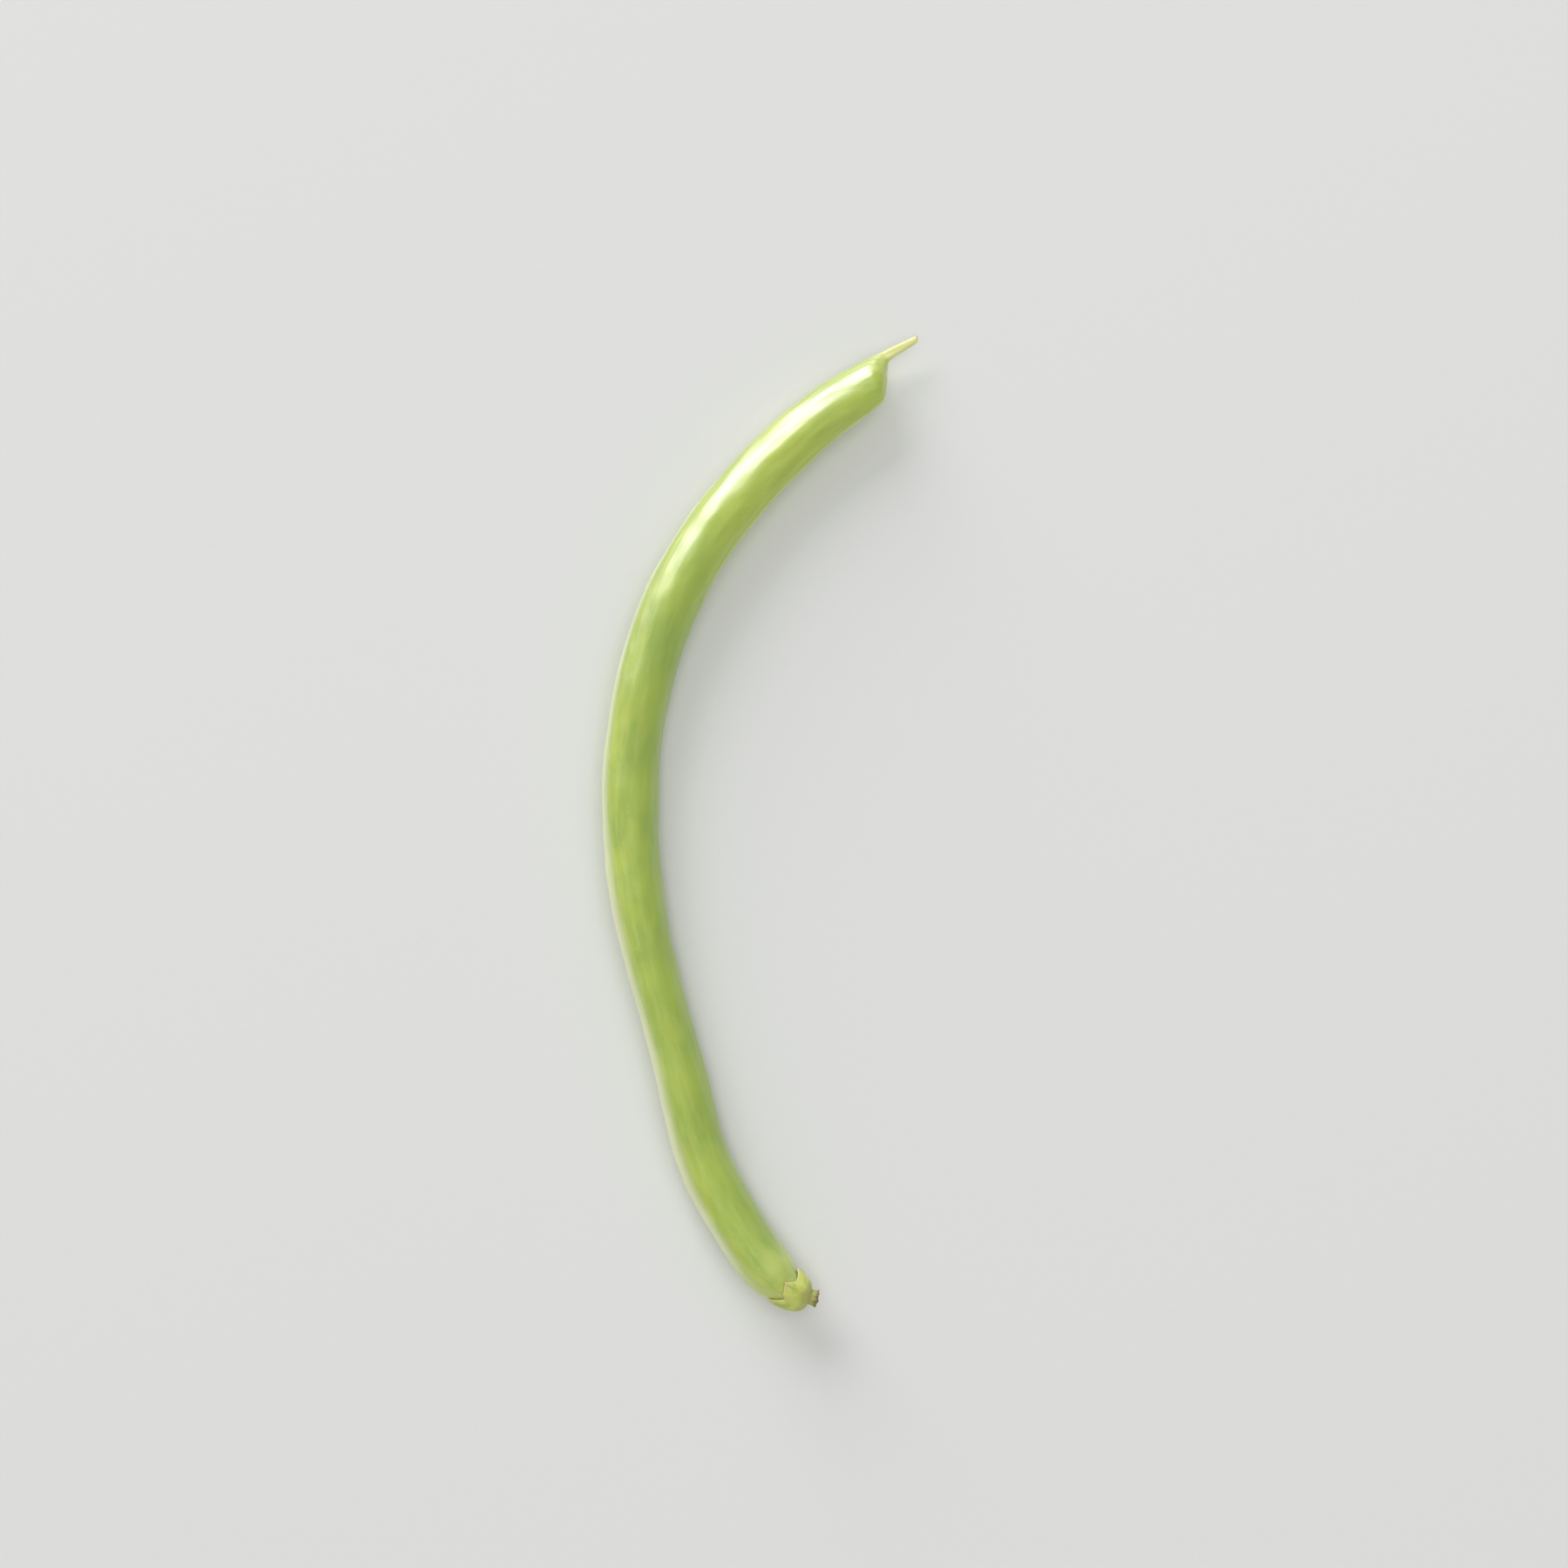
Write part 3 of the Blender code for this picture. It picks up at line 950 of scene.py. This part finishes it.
@dataclass(frozen=True)
class Calyx:
    """The calyx: a thin cup round the pod's foot, with five pointed, ribbed, uneven lobes and a collar.

    Its reach runs from 0 at the collar to 1 at the rim.
    """

    finish: CalyxFinish
    shift: Array
    cup_depth: float = 2.1
    lobe_lengths: tuple[float, ...] = (1.7, 1.3, 0.8, 1.4, 1.1)
    lobe_flares: tuple[float, ...] = (0.10, 0.28, 0.20, 0.12, 0.24)
    wall: float = 0.6
    gap: float = 0.25
    rim_wall: float = 0.3
    outer_rings: int = 72
    inner_rings: int = 24
    sides: int = 300
    rim_power: float = 14.0  # how late the wall rounds off to the rim
    tan_from: float = 0.86  # reach at which the tan edge begins
    base_until: float = 0.5
    rib_mm: float = 0.11
    rib_half_width: float = 0.14  # as a share of the lobe
    crinkle_mm: float = 0.05
    lump_mm: float = 0.05
    edge_lumps: float = 0.05  # how unevenly the lobes grew, as a share of their length
    edge_crinkle: float = 0.012
    wander: float = 0.16
    collar_mm: float = 0.32
    collar_radius: float = 1.65

    def lobe(self, angle: Array) -> tuple[Array, Array, Array]:
        """Work out the lobes: pointed arches, 1 at a lobe's point and 0 at a notch, with wandering sides.

        Args:
            angle: Angles round the pod.

        Returns:
            The share of lobe at each angle, and its lobe's length and flare in millimetres.
        """
        turn = angle * len(self.lobe_lengths) / (2 * math.pi)
        turn = turn + self.wander * np.sin(angle + 1.0) * np.sin(math.pi * turn) ** 2
        which = np.rint(turn).astype(int)
        share = (np.abs(turn % 1 - 0.5) * 2) ** 1.6
        length = np.take(self.lobe_lengths, which, mode="wrap")
        return share, length, np.take(self.lobe_flares, which, mode="wrap")

    def build(self) -> bpy.types.Object:
        """Make the calyx: out along its outer face, round the rim and back along its inner face.

        Returns:
            The piece.
        """
        out = np.linspace(0, 1, self.outer_rings + 1)[1:]
        back = np.linspace(1, 0, self.inner_rings + 1)[:-1]
        turn = 2 * math.pi * np.arange(self.sides) / self.sides
        reach, angle = np.meshgrid(np.concatenate([out, back]), turn, indexing="ij")
        outside = np.arange(len(reach))[:, None] < self.outer_rings
        lobe, lobe_length, flare = self.lobe(angle)
        around = np.stack([3 * np.cos(angle), 3 * np.sin(angle), 2.5 * reach], axis=-1)
        uneven, crinkle = Ripple(31, (2.5, 2.5, 2.5)).at(around), Ripple(32, (0.7, 0.7, 1.6)).at(around)
        growth = 1 + self.edge_lumps * uneven + self.edge_crinkle * crinkle
        length = (self.cup_depth + lobe_length * lobe) * growth
        s = FORM.foot + 0.03 + length * reach**1.6
        rib = np.exp(-(((1 - lobe) / self.rib_half_width) ** 2)) * reach
        rounding = np.sqrt(1 - 0.97 * reach**self.rim_power)
        wall = (self.wall + (self.rim_wall - self.wall) * reach**2.5) * rounding
        tip = reach**4 * lobe
        lift = self.gap * (1 - 0.7 * reach**2) + flare * tip
        crinkles = self.crinkle_mm * crinkle * (0.3 + 0.7 * reach)
        relief = self.rib_mm * rib + crinkles + self.lump_mm * uneven
        lift = lift + outside * (wall + relief * (1 - reach**8))
        radius = FORM.width(s) / 2
        collar = self.collar_mm * np.exp(-((radius / self.collar_radius) ** 4)) * outside
        points = FORM.surface(s, angle) + FORM.normal(s, angle) * (lift + collar)[..., None]
        points[..., :2] += self.shift
        fields = {
            "grown": FORM.straight(s, angle),
            "rib": rib * outside,
            "rim": smooth_step((reach - self.tan_from) / (1 - self.tan_from)) * (0.35 + 0.65 * lobe),
            "base": smooth_step((self.base_until - reach) / 0.3) * 0.8,
        }
        piece = Skin("calyx_skin", points * MM, fields).build()
        piece.data.materials.append(self.finish.make())
        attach(piece, ROOT)
        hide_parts("calyx")
        return piece


@dataclass(frozen=True)
class Stalk:
    """The snapped stalk: a short ribbed stub that flares to a rough, slightly hollow scar."""

    finish: StalkFinish
    shift: Array
    radii: Table = ((0.5, 1.25), (0.9, 1.12), (1.4, 1.06), (2.1, 1.15))
    rings: int = 48
    scar_rings: int = 20
    sides: int = 120
    ribs: int = 9
    rib_mm: float = 0.06
    scar_mm: float = 0.12
    scar_hollow: float = 0.4  # depth of the scar's middle over its roughness
    scar_depth: float = 0.35  # how far from the end the stub is rough
    dry_depth: float = 0.6  # how far from the end it is brown
    way_step: float = 0.2

    def build(self) -> bpy.types.Object:
        """Make the stalk: circles along the spine's own end, then smaller circles across the scar.

        Returns:
            The piece.
        """
        snapped_at, top = self.radii[0][0], self.radii[-1][0]
        share = np.concatenate([np.ones(self.rings), np.linspace(1, 0, self.scar_rings + 2)[1:-1]])[:, None]
        s = np.concatenate([np.linspace(top, snapped_at, self.rings), np.full(self.scar_rings, snapped_at)])
        turn = 2 * math.pi * np.arange(self.sides) / self.sides
        s, angle = np.meshgrid(s, turn, indexing="ij")
        rib = self.rib_mm * np.cos(self.ribs * angle) * smooth_step(share)
        radius = (even_curve(self.radii, s) + rib) * share
        level = FORM.along_spine(s + self.way_step, 1) - FORM.along_spine(s, 1)
        climb = FORM.height(s + self.way_step) - FORM.height(s)
        way = np.concatenate([level, climb[..., None]], axis=-1)
        way /= np.linalg.norm(way, axis=-1, keepdims=True)
        side = np.concatenate([FORM.along_spine(s, 2), np.zeros(s.shape + (1,))], axis=-1)
        centre = np.concatenate([FORM.along_spine(s, 1) + self.shift, FORM.height(s)[..., None]], axis=-1)
        round_it = side * np.cos(angle)[..., None] + np.cross(way, side) * np.sin(angle)[..., None]
        local = np.stack([radius * np.cos(angle), radius * np.sin(angle), s], axis=-1)
        hollow = self.scar_hollow * (1 - share**2)
        rough = self.scar_mm * (Ripple(41, (0.5, 0.5, 0.5)).at(local) - hollow)
        from_end = s - snapped_at
        at_scar = smooth_step(1 - from_end / self.scar_depth)
        points = centre + round_it * radius[..., None] - way * (rough * at_scar)[..., None]
        fields = {"grown": local, "scar": smooth_step(1 - from_end / self.dry_depth)}
        piece = Skin("stalk_skin", points * MM, fields).build()
        piece.data.materials.append(self.finish.make())
        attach(piece, ROOT)
        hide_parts("stalk")
        return piece


class LampUse(Enum):
    """What a lamp is for: all of its light, only the light on bodies, or only its reflection in gloss."""

    ALL = "all"
    BODY = "body"
    GLEAM = "gleam"


@dataclass(frozen=True)
class Lamp:
    """A soft rectangular lamp, placed by bearing and height as seen from the bean's middle."""

    name: str
    bearing_deg: float  # from +X towards +Y
    height_deg: float
    distance: float
    size: tuple[float, float]
    watts: float
    colour: Colour
    use: LampUse = LampUse.ALL

    def build(self, target: Array) -> None:
        """Hang the lamp and aim it.

        Args:
            target: The point that it shines at, in metres.
        """
        bearing, height = math.radians(self.bearing_deg), math.radians(self.height_deg)
        level = math.cos(height)
        way = np.array([math.cos(bearing) * level, math.sin(bearing) * level, math.sin(height)])
        light = bpy.data.lights.new(self.name, "AREA")
        light.shape = "RECTANGLE"
        light.size, light.size_y = self.size
        light.energy = self.watts
        light.color = self.colour
        lamp = bpy.data.objects.new(self.name, light)
        lamp.visible_diffuse = self.use is not LampUse.GLEAM
        lamp.visible_glossy = self.use is not LampUse.BODY
        lamp.location = target + way * self.distance
        lamp.rotation_euler = Vector(-way).to_track_quat("-Z", "Y").to_euler()
        bpy.context.scene.collection.objects.link(lamp)


@dataclass(frozen=True)
class Studio:
    """A pale floor, lamps at the upper left, above and opposite, and the camera straight above."""

    floor_side: float = 6.0
    floor_grey: Colour = (0.80, 0.80, 0.80)
    grain_share: float = 0.985  # the darkest grain over the lightest
    grain_scale: float = 900.0
    sky: Colour = (0.98, 0.99, 0.97)
    sky_strength: float = 0.40
    lamps: tuple[Lamp, ...] = (
        Lamp("key", 119.0, 20.0, 2.4, (1.5, 1.55), 43.0, (0.97, 0.98, 1.0)),
        Lamp("gleam", 122.0, 23.0, 2.4, (2.1, 1.8), 58.0, (0.97, 0.98, 1.0), LampUse.GLEAM),
        Lamp("overhead", 0.0, 85.0, 2.4, (2.0, 2.0), 17.5, (1.0, 1.0, 0.97), LampUse.BODY),
        Lamp("fill", -58.0, 32.0, 2.4, (1.2, 2.0), 6.0, (0.96, 1.0, 0.88), LampUse.BODY),
    )
    picture_px: float = 1800.0
    px_per_mm: float = 7.9
    bean_centre_px: tuple[float, float] = (872.5, 944.5)
    lens_mm: float = 85.0
    sensor_mm: float = 36.0

    def floor(self) -> None:
        """Lay the floor that the bean rests on."""
        half = self.floor_side / 2
        corners = [(-half, -half, 0), (half, -half, 0), (half, half, 0), (-half, half, 0)]
        mesh = bpy.data.meshes.new("floor")
        mesh.from_pydata(corners, [], [(0, 1, 2, 3)])
        floor = bpy.data.objects.new("floor", mesh)
        bpy.context.scene.collection.objects.link(floor)
        material, graph, shader = new_material("floor_paper", {"Roughness": 0.9, "Specular IOR Level": 0.2})
        place = graph.add("ShaderNodeTexCoord").outputs["Object"]
        darker = tuple(self.grain_share * c for c in self.floor_grey)
        tone = graph.mix(graph.noise(place, self.grain_scale, 2.0), self.floor_grey, darker)
        graph.feed(shader, {"Base Color": tone})
        mesh.materials.append(material)

    def light(self, target: Array) -> None:
        """Set the sky's soft light and hang the lamps.

        Args:
            target: The point that the lamps shine at, in metres.
        """
        world = bpy.data.worlds.new("studio")
        bpy.context.scene.world = world
        world.use_nodes = True
        background = world.node_tree.nodes["Background"]
        background.inputs["Color"].default_value = (*self.sky, 1.0)
        background.inputs["Strength"].default_value = self.sky_strength
        for lamp in self.lamps:
            lamp.build(target)
        bpy.context.scene.view_settings.view_transform = "Standard"

    def camera(self, middle_height: float) -> None:
        """Hang the camera straight above, so that the bean's place and size are as in the photograph.

        Args:
            middle_height: Height of the bean's middle, in metres.
        """
        centre = self.picture_px / 2
        x = (centre - self.bean_centre_px[0]) / self.px_per_mm
        y = (self.bean_centre_px[1] - centre) / self.px_per_mm
        distance = self.picture_px / self.px_per_mm * self.lens_mm / self.sensor_mm
        camera = bpy.data.cameras.new("camera")
        camera.lens, camera.sensor_width = self.lens_mm, self.sensor_mm
        camera.clip_start = 0.01
        eye = bpy.data.objects.new("camera", camera)
        eye.location = (x * MM, y * MM, distance * MM + middle_height)
        bpy.context.scene.collection.objects.link(eye)
        bpy.context.scene.camera = eye

    def build(self) -> None:
        """Set up the whole studio round the bean's box."""
        low, high = (np.array(corner) for corner in CAD_BOX)
        self.camera((low[2] + high[2]) / 2)
        self.light((low + high) / 2)
        self.floor()


def main() -> None:
    """Build the studio and the bean's pieces in order."""
    logging.basicConfig(level=logging.INFO)
    Studio().build()
    effects = Effects()
    pod, shift = Pod(PodFinish(effects)).build()
    calyx = Calyx(CalyxFinish(effects), shift).build()
    stalk = Stalk(StalkFinish(effects), shift).build()
    for piece in (pod, calyx, stalk):
        LOG.info("%s: %d faces", piece.name, len(piece.data.polygons))


if __name__ == "__main__":
    main()
